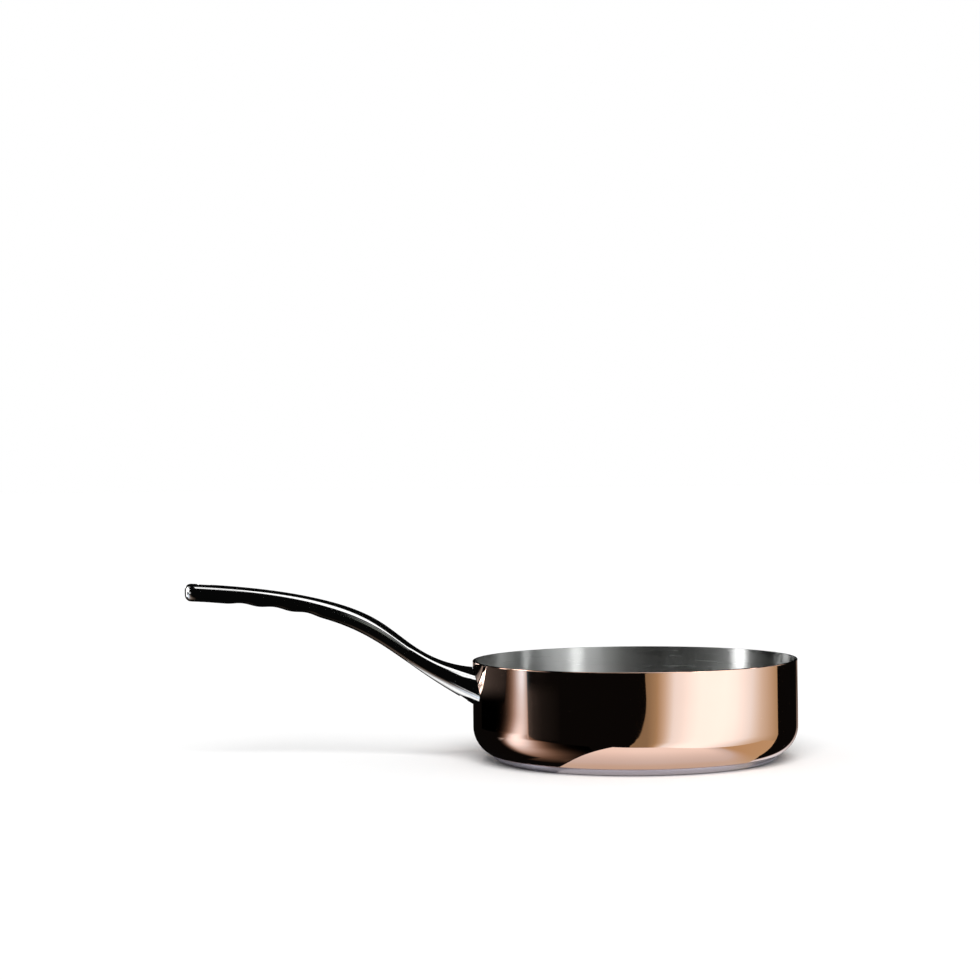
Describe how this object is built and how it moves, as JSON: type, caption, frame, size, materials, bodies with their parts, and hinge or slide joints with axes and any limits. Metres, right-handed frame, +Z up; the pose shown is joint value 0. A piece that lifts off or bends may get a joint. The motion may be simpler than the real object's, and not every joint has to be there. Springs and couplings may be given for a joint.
{
  "type": "saute pan",
  "caption": "Straight-sided copper pan with a stainless lining, a magnetic steel base and a curved cast steel handle riveted to the wall.",
  "frame": {"origin": "centre of the base's flat underside, on the pan's axis, where the pan stands", "axes": "+Z up along the pan's axis, the handle reaches out along -X, Y runs across the handle"},
  "size_m": [0.46, 0.244, 0.1356],
  "materials": {
    "copper": "polished copper with fine turning lines round the wall",
    "lining_steel": "stainless steel brushed round the wall",
    "base_steel": "turned ferritic steel",
    "cast_steel": "mirror polished cast stainless steel",
    "rivet_steel": "polished stainless steel"
  },
  "bodies": {
    "root": {"copper_shell": "copper", "steel_lining": "lining_steel", "induction_base": "base_steel", "handle": "cast_steel", "rivet_top": "rivet_steel", "rivet_left": "rivet_steel", "rivet_right": "rivet_steel"}
  },
  "joints": []
}
